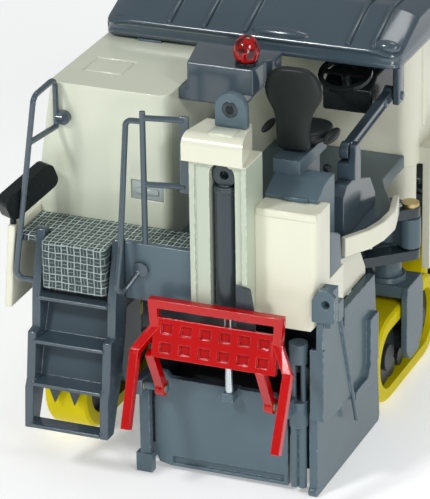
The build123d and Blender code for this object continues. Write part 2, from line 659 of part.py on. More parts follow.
def canopy():
    """Roof with a sloping rear apron, on arms that raise it level above the operator."""
    high = canopy_low + canopy_rim + canopy_rise
    y0, y1 = canopy_rear, canopy_front
    # y, z
    outer = [(y0, canopy_low), (y0, canopy_low + canopy_rim), (y0 + canopy_slope, high),
             (y1 - 3.0, high), (y1, high - 1.6), (y1, canopy_low)]
    inner = [(y0 + canopy_wall, canopy_low - 1), (y0 + canopy_wall, canopy_low + canopy_rim - 0.6),
             (y0 + canopy_slope + 0.3, high - canopy_wall), (y1 - 3.4, high - canopy_wall),
             (y1 - canopy_wall, high - 1.6 - canopy_wall), (y1 - canopy_wall, canopy_low - 1)]
    roof = plate("x", outer, (canopy_left, canopy_right))
    roof -= plate("x", inner, (canopy_left + canopy_wall, canopy_right - canopy_wall))
    for x in (-7.7, -3.6, 1.1, 12.8, 15.6):
        rib = [(y + (0.3 if y == y0 else 0), z + 0.3) for y, z in outer[1:4]]
        rib += [(y, z) for y, z in reversed(outer[1:4])]
        roof += plate("x", rib, (x - 0.3, x + 0.3))
    rim = canopy_low + canopy_rim
    for lip in ((1.5, 8.5), (canopy_right - 3.1, canopy_right - 0.1)):
        roof += plate("x", [(y0, rim - 0.3), (y0 + 1.8, rim + 0.4), (y0 + 0.9, rim + 0.9), (y0, rim + 0.5)], lip)
    x, y, z = arm_pivot
    tip = (y + arm_length, z + arm_rise)
    for side in (x + arm_half + slide, left_arm_x + arm_half + slide):
        roof += block((side, side + 0.8), (tip[0] - 0.9, tip[0] + 0.9), (tip[1] - 0.9, high - canopy_wall))
        roof += rod((side - 2 * arm_half - 0.3, *tip), (side + 0.8, *tip), 0.5)
    add("canopy", roof)


def canopy_arms():
    """Left and right arms, and the posts that carry their lower pins."""
    right_x, y, z = arm_pivot
    tip = (y + arm_length, z + arm_rise)
    angle = Vector(0, arm_length, arm_rise).normalized()
    arms = []
    for x in (right_x, left_arm_x):
        flat = Plane(origin=(x, (y + tip[0]) / 2, (z + tip[1]) / 2), x_dir=angle, z_dir=(1, 0, 0))
        arm = extrude(flat * Rectangle(arm_length, arm_depth), amount=arm_half, both=True)
        arm -= extrude(flat * Pos(0, 0, arm_half - 0.2) * Rectangle(arm_length - 4.4, arm_depth - 0.6), amount=1)
        arm += rod((x - arm_half, y, z), (x + arm_half, y, z), 0.95)
        arm += rod((x - arm_half, *tip), (x + arm_half, *tip), 0.95)
        arm -= rod((x - 2, y, z), (x + 2, y, z), 0.5 + run)
        arm -= rod((x - 2, *tip), (x + 2, *tip), 0.5 + run)
        arms.append(arm)
    add("canopy_arms", Compound(children=arms))
    inner = right_x + arm_half + slide
    top = z - 1.2
    post = block((right_x - 0.7, inner + 0.7), (y - 0.9, y + 0.9), (console_top, top))
    post += plate("x", [(y - 0.9, top), (y + 0.9, top), (y + 0.7, z + 0.9), (y - 0.7, z + 0.9)], (inner, inner + 0.7))
    post += rod((right_x - arm_half - slide, y, z), (inner + 0.7, y, z), 0.5)
    boss = rod((hood_right, y, z), (left_arm_x - arm_half - slide, y, z), 1.0)
    boss += rod((hood_right, y, z), (left_arm_x + arm_half + 0.1, y, z), 0.5)
    add("canopy_posts", Compound(children=[post, boss]))


def rear_box():
    """Grey extraction box at the hood's rear right corner, with the beacon on top."""
    top = hood_top + 2.95
    # x, y
    plan = [(-0.8, 3.0), (6.6, 3.0), (6.8, 6.1), (7.5, 6.7), (7.5, 9.2), (hood_right - 0.4, 9.2), (hood_right, 7.8)]
    box = plate("z", plan, (hood_top, top))
    box += block((hood_right, 5.37), (3.0, 6.0), (hood_top - 1.4, hood_top))
    add("extraction_box", box)
    spot = (5.3, 4.6)
    light = rod((*spot, top), (*spot, top + 0.55), 1.25)
    light += rod((*spot, top + 0.55), (*spot, top + 2.1), 1.45)
    light += Pos(*spot, top + 2.1 + 0.55) * Cone(1.45, 0.75, 1.1)
    add("beacon", light)


def swing_gear():
    """Arm that swings the rear right leg round from beside the drum to ahead of it."""
    px, py = swing_pivot
    cx, cy = rear_right_track
    way = Vector(cx - px, cy - py, 0)
    collar = column_radius + sleeve_wall
    arm = rod((cx, cy, arm_low), (cx, cy, arm_high), collar)
    arm += rod((px, py, arm_low), (px, py, arm_high), 1.2)
    arm += extrude(Plane(origin=((cx + px) / 2, (cy + py) / 2, arm_low), x_dir=way, z_dir=(0, 0, 1))
                   * Rectangle(way.length, 2.2), amount=arm_high - arm_low)
    arm -= rod((cx, cy, arm_low - 1), (cx, cy, arm_high + 1), column_radius + run)
    arm -= rod((px, py, arm_low - 1), (px, py, arm_high + 1), screw_radius + run)
    add("swing_arm", arm)
    anchor = Vector(9.6, 19.0, 0)
    line = Vector(px, py, 0) - anchor
    lugs = []
    for low, high in ((arm_low - 1.3, arm_low - slide), (arm_high + slide, arm_high + 1.3)):
        lug = extrude(Plane(origin=((px + anchor.X) / 2, (py + anchor.Y) / 2, low), x_dir=line, z_dir=(0, 0, 1))
                      * Rectangle(line.length, 2.2), amount=high - low)
        lug += rod((px, py, low), (px, py, high), 1.1)
        lug -= rod((px, py, low - 1), (px, py, high + 1), screw_radius)
        lugs.append(lug)
    bracket_solid = lugs[0] + lugs[1]
    bracket_solid += block((10.4, 12.4), (17.4, 21.4), (arm_low - 1.3, arm_high + 1.3))
    bracket_solid -= block((0, 10.4), (10, 30), (10, 30))
    add("swing_bracket", bracket_solid)
    pin = rod((px, py, arm_low - 1.3), (px, py, arm_high + 1.6), screw_radius)
    pin += rod((px, py, arm_high + 1.3), (px, py, arm_high + 1.75), 1.0)
    add("swing_screw", pin)


def build():
    tracks()
    chassis()
    drum_housing()
    milling_drum()
    scraper()
    mast()
    bracket()
    housing_guides()
    side_plates()
    engine_hood()
    front_body()
    platform()
    ladder()
    handrails()
    mirror()
    tank()
    operator_place()
    canopy()
    canopy_arms()
    rear_box()
    swing_gear()


build()
whole = Compound(children=[Compound(shape.solids()) for shape in made.values()]).bounding_box()
middle_x = round((whole.min.X + whole.max.X) / 2, 2)
middle_y = round((whole.min.Y + whole.max.Y) / 2, 2)
os.makedirs("parts", exist_ok=True)
for node, shape in made.items():
    placed = Compound(shape.solids()).moved(Location((-middle_x, -middle_y, 0)))
    export_step(placed, "parts/" + node + ".step")
print("origin moved to", middle_x, middle_y, "size", whole.size)
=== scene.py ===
# %% [markdown]
# # Finishing a die-cast planer
# The object is a collector's model of a small road planer, about 77 mm long: zinc castings with a thin
# coat of gloss paint, moulded plastic crawler belts, bent wire rails and a few bright pins. The solids
# come ready made and stay where they are. This lesson rounds the edges of the castings as the moulds
# do, models the seat, the roof, the ruby lamp and the small fittings, and gives all of it its finish.

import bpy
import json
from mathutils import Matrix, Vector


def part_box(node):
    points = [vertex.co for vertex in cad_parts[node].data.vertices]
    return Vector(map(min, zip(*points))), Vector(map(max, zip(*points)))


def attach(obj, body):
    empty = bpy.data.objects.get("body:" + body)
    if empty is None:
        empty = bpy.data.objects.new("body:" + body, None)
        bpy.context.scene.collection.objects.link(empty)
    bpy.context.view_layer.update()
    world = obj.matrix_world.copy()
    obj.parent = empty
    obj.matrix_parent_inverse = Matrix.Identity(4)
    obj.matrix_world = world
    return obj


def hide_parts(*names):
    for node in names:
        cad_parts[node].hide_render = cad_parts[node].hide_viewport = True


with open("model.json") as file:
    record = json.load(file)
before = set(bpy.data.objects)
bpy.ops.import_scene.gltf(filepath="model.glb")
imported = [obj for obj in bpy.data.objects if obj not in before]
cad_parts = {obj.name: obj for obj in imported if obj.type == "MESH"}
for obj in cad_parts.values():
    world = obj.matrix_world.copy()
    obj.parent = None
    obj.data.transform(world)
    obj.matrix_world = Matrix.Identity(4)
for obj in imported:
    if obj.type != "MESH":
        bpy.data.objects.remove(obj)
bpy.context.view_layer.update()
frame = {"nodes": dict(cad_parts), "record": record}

import fnmatch
import json
import math

import bmesh
import bpy
from mathutils import Matrix, Vector

MM = 0.001
nodes = frame["nodes"]
print("solids on the bench:", len(nodes))

# %% [markdown]
# ## One datum
# The drawing measures everything from the machine's middle and from the hood's rear face. Every place
# could be written in metres of the frame, but such numbers can't be checked against a drawing. The
# hood's box tells where the datum lies, so that a point is written in the drawing's own millimetres.

# %% One datum
HOOD_RIGHT = -1.8       # the hood's right side in the drawing, mm
hood_low, hood_high = (Vector(corner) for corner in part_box("engine_hood"))
DATUM = Vector((hood_high.x - HOOD_RIGHT * MM, hood_low.y, 0))


def at(x, y, z):
    """A point of the drawing, in metres of the frame."""
    return DATUM + Vector((x, y, z)) * MM


def span(name):
    """Lowest and highest corner of a solid, in mm of the drawing."""
    return [(Vector(corner) - DATUM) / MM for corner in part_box(name)]


print("datum at", [round(value / MM, 2) for value in DATUM])

# %% [markdown]
# ## The camera
# A long lens flattens a small model, as catalogue pictures do. A camera can be turned by hand or tied
# to a target. Here three angles give its attitude, yaw round the upright, pitch down and a slight roll,
# because they read more easily than a matrix and can be changed one at a time. It stands behind the
# machine's right rear corner and looks a little down.

# %% The camera
YAW, PITCH, ROLL = math.radians(22.42), math.radians(23.82), math.radians(-0.9)
AIM = at(2.8, 1.25, 24.82)
DISTANCE = 360 * MM
LENS, SENSOR = 245.3, 36    # focal length and the picture's longer side, mm
NEAREST = 10 * MM


def make_camera():
    back = Vector((math.sin(YAW) * math.cos(PITCH), -math.cos(YAW) * math.cos(PITCH), math.sin(PITCH)))
    right = Vector((math.cos(YAW), math.sin(YAW), 0))
    up = back.cross(right)
    turned_right = right * math.cos(ROLL) + up * math.sin(ROLL)
    turned_up = up * math.cos(ROLL) - right * math.sin(ROLL)
    data = bpy.data.cameras.new("camera")
    data.lens = LENS
    data.sensor_width = SENSOR
    data.clip_start = NEAREST
    camera = bpy.data.objects.new("camera", data)
    bpy.context.scene.collection.objects.link(camera)
    attitude = Matrix((turned_right, turned_up, back)).transposed().to_4x4()
    camera.matrix_world = Matrix.Translation(AIM + back * DISTANCE) @ attitude
    bpy.context.scene.camera = camera


make_camera()
print("camera is", round(DISTANCE / MM), "mm from the model")

# %% [markdown]
# ## Floor and light
# The studio is a pale floor under four area lamps: the key from the upper left, which is the smallest
# and gives the glints on the castings, a softer one from the right for the machine's side, a low one
# for the upright faces at the rear, and a wide one from above for the roof and the deck. One big lamp
# would be simpler, but it lights all faces alike, and gloss paint then looks like matt plastic. The
# plain view transform keeps the paint's colours as saturated as they are mixed.

# %% Floor and light
LAMPS = [
    # name, direction from the model, distance in mm, size in mm, power in W
    ("key", (-0.45, -1.0, 0.95), 420, 55, 0.64),
    ("side", (1.0, -0.75, 0.75), 460, 90, 0.42),
    ("low", (0.75, -1.0, 0.12), 440, 110, 0.26),
    ("top", (0.1, 0.35, 1.0), 430, 140, 0.26),
]
LIT_HEIGHT = 20 * MM    # the lamps face the model's middle
FLOOR_REACH = 8         # m each way, so that no view shows its edge
SKY = (0.97, 0.99, 1.0, 1)
SURROUNDING = 0.30
FLOOR_GLOW = 0.34       # keeps the floor white under modest light


def make_floor():
    bm = bmesh.new()
    bmesh.ops.create_grid(bm, x_segments=1, y_segments=1, size=FLOOR_REACH)
    mesh = bpy.data.meshes.new("floor")
    bm.to_mesh(mesh)
    bm.free()
    floor = bpy.data.objects.new("floor", mesh)
    bpy.context.scene.collection.objects.link(floor)
    return floor


def make_lamp(name, way, distance, size, power):
    data = bpy.data.lights.new(name, "AREA")
    data.energy = power
    data.size = size * MM
    lamp = bpy.data.objects.new(name, data)
    bpy.context.scene.collection.objects.link(lamp)
    direction = Vector(way).normalized()
    lamp.location = Vector((0, 0, LIT_HEIGHT)) + direction * distance * MM
    lamp.rotation_euler = direction.to_track_quat("Z", "Y").to_euler()


def make_surrounding():
    world = bpy.data.worlds.new("studio")
    world.use_nodes = True
    background = world.node_tree.nodes["Background"]
    background.inputs["Color"].default_value = SKY
    background.inputs["Strength"].default_value = SURROUNDING
    bpy.context.scene.world = world
    bpy.context.scene.view_settings.view_transform = "Standard"


floor = make_floor()
for row in LAMPS:
    make_lamp(*row)
make_surrounding()
print("lamps:", len(LAMPS))

# %% [markdown]
# ## Arithmetic for finishes
# A finish is a small sum: a noise times a strength, one minus a mask. Each sum could be wired node by
# node, but then its meaning is lost among links. The class below wraps a socket, so that such a sum is
# written as ordinary Python and each sign adds its Math node.

# %% Arithmetic for finishes


class Number:
    """A float socket of a finish. Its operators add Math nodes."""

    def __init__(self, finish, socket):
        self.finish = finish
        self.socket = socket

    def apply(self, operation, *values):
        made = self.finish.node("ShaderNodeMath", {"operation": operation}, dict(enumerate(values)))
        return Number(self.finish, made.outputs["Value"])

    def __add__(self, other):
        return self.apply("ADD", self, other)

    def __sub__(self, other):
        return self.apply("SUBTRACT", self, other)

    def __rsub__(self, other):
        return self.apply("SUBTRACT", other, self)

    def __mul__(self, other):
        return self.apply("MULTIPLY", self, other)

    def __truediv__(self, other):
        return self.apply("DIVIDE", self, other)

    def __gt__(self, other):
        return self.apply("GREATER_THAN", self, other)

    def __abs__(self):
        return self.apply("ABSOLUTE", self)

    def whole(self):
        return self.apply("FLOOR", self)

    def fraction(self):
        return self.apply("FRACT", self)

    def larger(self, other):
        return self.apply("MAXIMUM", self, other)

    def step(self, low, high):
        """0 below low, 1 above high, and smooth between them."""
        made = self.finish.node("ShaderNodeMapRange", {"interpolation_type": "SMOOTHSTEP"},
                                {"Value": self, "From Min": low, "From Max": high})
        return Number(self.finish, made.outputs["Result"])

    __radd__ = __add__
    __rmul__ = __mul__


print("a number can also be:", [word for word in vars(Number) if not word.startswith("__")])

# %% [markdown]
# ## One class for a finish
# Every finish here is a Principled shader with a colour, a gloss and a relief. All nodes but the sums
# come from one method, which takes the node's type, its settings and its sockets. The patterns are
# laid out on Object coordinates: a pattern on a piece's own box would stretch with the piece, and
# unwrapped coordinates are of no use on castings without seams.

# %% One class for a finish


class Finish:
    """One procedural material round a Principled shader."""

    def __init__(self, name, colour, roughness, metallic=0.0, coat=0.0):
        self.material = bpy.data.materials.new(name)
        self.material.use_nodes = True
        self.tree = self.material.node_tree
        self.shader = self.tree.nodes["Principled BSDF"]
        self.set(self.shader, {"Base Color": (*colour, 1), "Roughness": roughness, "Metallic": metallic,
                               "Coat Weight": coat, "Coat Roughness": 0.12})

    def set(self, node, sockets):
        for key, value in sockets.items():
            if isinstance(value, Number):
                self.tree.links.new(value.socket, node.inputs[key])
            elif isinstance(value, bpy.types.NodeSocket):
                self.tree.links.new(value, node.inputs[key])
            else:
                node.inputs[key].default_value = value

    def node(self, kind, settings=None, sockets=None):
        made = self.tree.nodes.new(kind)
        for key, value in (settings or {}).items():
            setattr(made, key, value)
        self.set(made, sockets or {})
        return made

    def place(self):
        """Object coordinates, in metres on an untransformed piece."""
        return self.node("ShaderNodeTexCoord").outputs["Object"]

    def split(self, vector):
        parts = self.node("ShaderNodeSeparateXYZ", None, {"Vector": vector})
        return [Number(self, out) for out in parts.outputs]

    def noise(self, grain, detail=2.0):
        """Noise of a given grain in mm, between 0 and 1."""
        made = self.node("ShaderNodeTexNoise", None,
                         {"Vector": self.place(), "Scale": 1 / (grain * MM), "Detail": detail})
        return Number(self, made.outputs["Fac"])

    def blend(self, mask, first, second):
        mix = self.node("ShaderNodeMix", {"data_type": "RGBA"}, {0: mask, 6: first, 7: second})
        return mix.outputs[2]

    def rounded(self, radius):
        """The way the surface faces, with its edges rounded by a radius in mm."""
        return self.node("ShaderNodeBevel", {"samples": 6}, {"Radius": radius * MM}).outputs["Normal"]

    def glint_mask(self, width):
        """1 on outward edges within a width in mm, broken up by noise, and 0 elsewhere: the mask of a
        painted edge highlight.
        """
        flat = self.node("ShaderNodeNewGeometry").outputs["Normal"]
        likeness = self.node("ShaderNodeVectorMath", {"operation": "DOT_PRODUCT"},
                             {0: flat, 1: self.rounded(width)})
        turn = 1 - Number(self, likeness.outputs["Value"])
        return turn.step(0.03, 0.16) * self.noise(0.7, 3.0).step(0.42, 0.62)

    def relief(self, height, depth, edge=None):
        """Bump of a given depth in mm, over edges rounded by a given radius in mm."""
        sockets = {"Height": height, "Distance": depth * MM, "Strength": 1.0}
        if edge:
            sockets["Normal"] = self.rounded(edge)
        bump = self.node("ShaderNodeBump", None, sockets)
        self.set(self.shader, {"Normal": bump.outputs["Normal"]})

    def colour(self, value):
        self.set(self.shader, {"Base Color": value})

    def uneven(self, grain, lowest, spread):
        """A gloss that wavers, in patches of a grain in mm, from the lowest roughness up."""
        self.set(self.shader, {"Roughness": self.noise(grain) * spread + lowest})


print("what a finish can do:", [word for word in vars(Finish) if not word.startswith("_")])

# %% [markdown]
# ## Gloss paint on castings
# The model's paint is a thin, even coat of cream or blue-grey over cast zinc. A flat colour with gloss
# would read as plastic. Three things make it read as paint: edges that are rounded where the coat pulls
# back, a faint orange peel, and a tone that drifts a little over a panel. A painted highlight lightens the
# edges in a band broken up by noise. A Bevel node rounds the edges for the shader only.

# %% Gloss paint on castings
EDGE = 0.14             # rounding of a painted edge, mm
GLINT_WIDTH = 0.2            # width of the painted edge highlight, mm
GLINT_WHITE = 0.05     # white added to the painted edge highlight
PANEL = 9.0             # grain of the tone, mm
PEEL, PEEL_DEPTH = 0.35, 0.005      # orange peel, mm
WAVE, WAVE_SPREAD = 2.5, 0.12       # patches of uneven gloss: their grain in mm, and how much they vary


def shade(colour, factor):
    return (*(min(1, channel * factor) for channel in colour), 1)


def lacquer(finish, roughness):
    """What all painted surfaces share: an uneven gloss, orange peel and rounded edges."""
    finish.uneven(WAVE, roughness - WAVE_SPREAD / 2, WAVE_SPREAD)
    finish.relief(finish.noise(PEEL, 1.0), PEEL_DEPTH, EDGE)
    return finish.material


def paint(name, colour, roughness=0.24, drift=0.05, coat=0.25, edge_glint=1.0, gloss=0.5):
    finish = Finish(name, colour, roughness, coat=coat)
    finish.set(finish.shader, {"Specular IOR Level": gloss})
    tone = finish.noise(PANEL, 3.0).step(0.3, 0.7)
    base = finish.blend(tone, shade(colour, 1 - drift), shade(colour, 1 + drift))
    # painted highlight: a band along the edges is drawn lighter, broken up by noise
    if edge_glint != 1:
        glint_colour = tuple(min(1, channel * edge_glint + GLINT_WHITE) for channel in colour)
        base = finish.blend(finish.glint_mask(GLINT_WIDTH), base, (*glint_colour, 1))
    finish.colour(base)
    return lacquer(finish, roughness)


cream = paint("cream_paint", (0.78, 0.78, 0.63), drift=0.02, coat=0.4)
# painted shade: a duller, cooler copy of the cream, used on the hood, its doors and the cap's tab
shaded_cream = paint("shaded_cream_paint", (0.68, 0.72, 0.58), drift=0.02, coat=0.4)
grey = paint("grey_paint", (0.092, 0.139, 0.168), coat=0.0, edge_glint=2.3, gloss=0.38)
roof_grey = paint("roof_paint", (0.054, 0.082, 0.104), 0.18, coat=0.5, edge_glint=1.8)
dark_grey = paint("dark_paint", (0.027, 0.042, 0.052), 0.26, coat=0.15, edge_glint=1.8)
red = paint("red_paint", (0.50, 0.0004, 0.0012), 0.11, drift=0.07, edge_glint=1.5, gloss=0.4)
latch_grey = paint("latch_paint", (0.40, 0.46, 0.45), 0.2, drift=0.06)
print("paints:", len(bpy.data.materials))

# %% [markdown]
# ## The mast's painted shade
# Below its cap the mast is drawn in a dull, cool cream, which is painted shade, as on the hood, and the cap
# in a warm, bright cream. The cap could be cut off and given its own paint, but mast and cap are one
# casting. So one finish changes its colour at the height of the seam.

# %% The mast's painted shade
CAP_SEAM = 37.7         # underside of the mast's cap, mm
# painted shade: below the cap the mast is drawn duller and cooler than the cap
SHADE_BELOW_SEAM = (0.50, 0.56, 0.45)
ABOVE_SEAM = (0.74, 0.75, 0.60)
# painted highlight along the mast's edges
MAST_GLINT = (0.88, 0.90, 0.78)


def mast_shaded_paint():
    finish = Finish("mast_shaded_paint", SHADE_BELOW_SEAM, 0.24, coat=0.3)
    height = finish.split(finish.place())[2]
    base = finish.blend(height > CAP_SEAM * MM, (*SHADE_BELOW_SEAM, 1), (*ABOVE_SEAM, 1))
    finish.colour(finish.blend(finish.glint_mask(GLINT_WIDTH), base, (*MAST_GLINT, 1)))
    return lacquer(finish, 0.24)


mast_shaded_cream = mast_shaded_paint()
print("nodes in the mast's paint:", len(mast_shaded_cream.node_tree.nodes))

# %% [markdown]
# ## Plastics and bright metal
# The belts are moulded in yellow vinyl, matt and a little uneven. The seat, the mirror and the wheel
# are black. The rods are plated and the screws are brass, and both are turned. Their fine rings could
# be cut into the mesh, but at a tenth of a millimetre they only show as a change of gloss, so the
# shader draws them.

# %% Plastics and bright metal
RING = 0.12             # spacing of the turning marks, mm


def plastic(name, colour, roughness, grain=0.25, gloss=0.28):
    finish = Finish(name, colour, roughness)
    finish.set(finish.shader, {"Specular IOR Level": gloss})
    tone = finish.noise(3.0, 4.0).step(0.25, 0.75)
    finish.colour(finish.blend(tone, shade(colour, 0.9), shade(colour, 1)))
    finish.uneven(grain * 4, roughness - 0.07, 0.15)
    finish.relief(finish.noise(grain), 0.012, EDGE * 0.7)
    return finish.material


def metal(name, colour, roughness):
    finish = Finish(name, colour, roughness, metallic=1.0)
    height = finish.split(finish.place())[2]
    rings = (height / (RING * MM)).fraction()
    finish.set(finish.shader, {"Roughness": rings.step(0.2, 0.8) * 0.12 + roughness})
    finish.relief(rings, 0.004, EDGE * 0.5)
    return finish.material


yellow = plastic("yellow_belt", (0.72, 0.60, 0.001), 0.45, 0.4, gloss=0.1)
black = plastic("black_plastic", (0.012, 0.016, 0.017), 0.28)
seat_black = plastic("seat_black", (0.016, 0.021, 0.020), 0.42, 0.3)
dark_metal = plastic("dark_carrier", (0.028, 0.036, 0.040), 0.36, 0.3)
chrome = metal("plated_rod", (0.62, 0.70, 0.72), 0.16)
brass = metal("brass", (0.55, 0.42, 0.19), 0.26)
pewter = metal("latch_metal", (0.50, 0.53, 0.53), 0.30)
print("paints, plastics and metals:", len(bpy.data.materials))

# %% [markdown]
# ## The tread on the deck
# The rear deck and its step are covered with a raised wire tread. Modelled wire by wire it would be
# thousands of tiny faces for a pattern 0.7 mm wide, so it is drawn by the shader: a grid of light wires
# over dark cells, with a bar across every second cell, laid on whichever plane the surface faces. On
# the upright face of the step the wires catch less light, so they are drawn weaker there.

# %% The tread on the deck
CELL_ACROSS, CELL_ALONG = 0.74, 0.84    # tread cell, mm
WIRE = (0.80, 0.96, 0.92, 1)
CELL = (0.036, 0.053, 0.058, 1)


def tread_finish():
    finish = Finish("wire_tread", (0.2, 0.25, 0.26), 0.38, metallic=0.2)
    x, y, z = finish.split(finish.place())
    facing = finish.split(finish.node("ShaderNodeNewGeometry").outputs["True Normal"])
    upward = abs(facing[2]) > 0.7
    second = y * upward + z * (1 - upward)
    sway = (finish.noise(2.2) - 0.5) * 0.5
    across = x / (CELL_ACROSS * MM) + sway
    along = second / (CELL_ALONG * MM) - sway
    off_middle, off_row = abs(across.fraction() - 0.5), abs(along.fraction() - 0.5)
    grid = off_middle.step(0.39, 0.45).larger(off_row.step(0.40, 0.46))
    parity = ((across.whole() + along.whole()) * 0.5).fraction() > 0.25
    bars = (1 - off_middle.step(0.02, 0.10)) * parity + (1 - off_row.step(0.02, 0.10)) * (1 - parity)
    strength = finish.noise(0.9).step(0.25, 0.7) * 0.5 + 0.5
    wires = grid.larger(bars * 0.45) * strength * (upward * 0.5 + 0.5)
    finish.colour(finish.blend(wires, CELL, WIRE))
    finish.set(finish.shader, {"Roughness": 0.5 - wires * 0.2})
    finish.relief(wires, 0.08, EDGE)
    return finish.material


tread = tread_finish()
print("nodes in the tread:", len(tread.node_tree.nodes))

# %% [markdown]
# ## The lens
# The rotating lamp is a ruby plastic dome. Glass alone would let the grey box behind it through, and
# paint alone looks like a bead. So a quarter of the light passes, and dark and bright clouds are painted
# shade and painted glints that stand for the facets inside.

# %% The lens
# painted shade and painted glints of the facets inside the lens
RUBY_FACET_SHADE = (0.07, 0.0006, 0.0006, 1)
RUBY_FACET_GLINT = (0.50, 0.003, 0.002, 1)


def lens_finish():
    finish = Finish("ruby_lens", (0.50, 0.004, 0.003), 0.05, coat=0.2)
    finish.set(finish.shader, {"Transmission Weight": 0.25, "IOR": 1.49})
    cloud = finish.noise(0.8)
    finish.colour(finish.blend(cloud.step(0.38, 0.60), RUBY_FACET_SHADE, RUBY_FACET_GLINT))
    finish.relief(cloud, 0.06)
    return finish.material


ruby = lens_finish()
print("finishes so far:", len(bpy.data.materials))

# %% [markdown]
# ## Who wears what
# The finishes could be given to the solids one by one, in fifty lines. A table of patterns is shorter
# and shows at a glance what is painted alike. It is read from top to bottom, and the first row that
# fits a solid's name decides.

# %% Who wears what
COATS = [
    (yellow, "track_*"),
    (dark_metal, "carrier_* milling_drum"),
    (chrome, "lift_rod"),
    (brass, "swing_screw"),
    (red, "conveyor_bracket"),
    (dark_grey, "lift_cylinder swing_bracket chassis_frame drum_housing mast_foot"),
    (mast_shaded_cream, "mast"),
    # the hood has the cream's painted-shade copy
    (shaded_cream, "engine_hood"),
    (cream, "front_body left_skirt water_tank guard_band"),
    (tread, "platform_deck"),
    (black, "front_grille mirror steering_*"),
    (seat_black, "seat"),
    (roof_grey, "side_console handrail_* canopy* extraction_box ladder"),
    (ruby, "beacon"),
    (grey, "*"),
]


def coat_of(name):
    return next(finish for finish, patterns in COATS
                if any(fnmatch.fnmatch(name, pattern) for pattern in patterns.split()))


def dress(thing, material):
    thing.data.materials.clear()
    thing.data.materials.append(material)


def floor_finish():
    finish = Finish("pale_floor", (0.90, 0.91, 0.91), 0.8)
    finish.set(finish.shader, {"Emission Color": (1, 1, 1, 1), "Emission Strength": FLOOR_GLOW})
    finish.relief(finish.noise(1.5), 0.002)
    return finish.material


for name, thing in nodes.items():
    dress(thing, coat_of(name))
dress(floor, floor_finish())
body_of = {node: body for body, names in frame["record"]["behaviour"]["bodies"].items() for node in names}
print("finishes:", len(bpy.data.materials))

# %% [markdown]
# ## From a bmesh to a piece
# Every new piece ends the same way: its faces are turned outwards, it is shaded smooth except over
# sharp edges, it gets a finish, and it is told which body carries it. Smooth shading alone would bend
# the light over large flat faces next to narrow rounded edges, so a modifier weights the normals by
# the size of the faces where that matters.

# %% From a bmesh to a piece


def piece(name, bm, material, like, body=None, sharp=45, weighted=False):
    """A finished object. like is the solid whose body, as a rule, it shares."""
    bmesh.ops.recalc_face_normals(bm, faces=bm.faces)
    mesh = bpy.data.meshes.new(name)
    bm.to_mesh(mesh)
    bm.free()
    mesh.shade_smooth()
    mesh.set_sharp_from_angle(angle=math.radians(sharp))
    thing = bpy.data.objects.new(name, mesh)
    bpy.context.scene.collection.objects.link(thing)
    mesh.materials.append(material)
    if weighted:
        modifier = thing.modifiers.new("even_faces", "WEIGHTED_NORMAL")
        modifier.keep_sharp = True
    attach(thing, body or body_of[like])
    return thing


print("bodies that can carry a piece:", sorted(set(body_of.values())))

# %% [markdown]
# ## Shapes to start from
# The small fittings of such a model are blocks, bars, stamped outlines and turned forms, all with the
# soft edges of a mould. A few helpers make them in place, in the drawing's millimetres, so that no
# object has to be moved or scaled afterwards.

# %% Shapes to start from


def round_edges(bm, edges, radius, segments=2):
    bmesh.ops.bevel(bm, geom=edges, offset=radius * MM, offset_type="OFFSET", segments=segments,
                    profile=0.5, affect="EDGES", clamp_overlap=True, material=-1)


def edges_of(verts):
    return list({edge for vert in verts for edge in vert.link_edges})


def crisp_edges(edges, degrees):
    """The edges whose two faces meet at more than an angle."""
    return [edge for edge in edges if edge.calc_face_angle(0) > math.radians(degrees)]


def slab(bm, low, high):
    """A block between two corners of the drawing."""
    low, high = at(*low), at(*high)
    made = bmesh.ops.create_cube(bm, size=1)["verts"]
    bmesh.ops.scale(bm, vec=high - low, verts=made)
    bmesh.ops.translate(bm, vec=(low + high) / 2, verts=made)
    return made


def pin(bm, start, end, radius, sides=20):
    """A round bar between two points of the drawing, with softened rims."""
    start, end = at(*start), at(*end)
    way = end - start
    turn = way.to_track_quat("Z", "Y").to_matrix().to_4x4()
    made = bmesh.ops.create_cone(bm, cap_ends=True, segments=sides, radius1=radius * MM,
                                 radius2=radius * MM, depth=way.length,
                                 matrix=Matrix.Translation((start + end) / 2) @ turn)
    rims = crisp_edges(edges_of(made["verts"]), 57)
    round_edges(bm, rims, min(0.2 * radius, 0.4 * way.length / MM))


def push(bm, verts, along):
    """The face between some vertices, pushed along a vector in mm."""
    made = bmesh.ops.extrude_face_region(bm, geom=[bm.faces.new(verts)])["geom"]
    moved = [part for part in made if isinstance(part, bmesh.types.BMVert)]
    bmesh.ops.translate(bm, vec=Vector(along) * MM, verts=moved)


def prism(bm, corners, along):
    """A flat outline with straight sides, pushed along a vector in mm."""
    push(bm, [bm.verts.new(corner) for corner in corners], along)


def turned(bm, spot, profile, steps=28):
    """A form turned round an upright. The profile is radius and height in mm of the drawing."""
    verts = [bm.verts.new(at(spot[0] + radius, spot[1], z)) for radius, z in profile]
    edges = [bm.edges.new(pair) for pair in zip(verts, verts[1:])]
    bmesh.ops.spin(bm, geom=verts + edges, cent=at(*spot, 0), axis=(0, 0, 1), angle=math.tau, steps=steps,
                   use_merge=True)
    bmesh.ops.remove_doubles(bm, verts=bm.verts, dist=0.001 * MM)


print("helpers:", [helper.__name__ for helper in (slab, pin, prism, turned)])

# %% [markdown]
# ## Castings with soft edges
# A mould can't make a knife edge, and paint would not stay on one. A Bevel modifier would round the
# loose triangles that the solids come in one by one. So a copy of each casting is merged into whole
# faces first, and then its sharp edges are rounded by a real bevel, so that the outline is soft too.
# The radius is what each casting shows: more on the mast and the tank, less on plates.

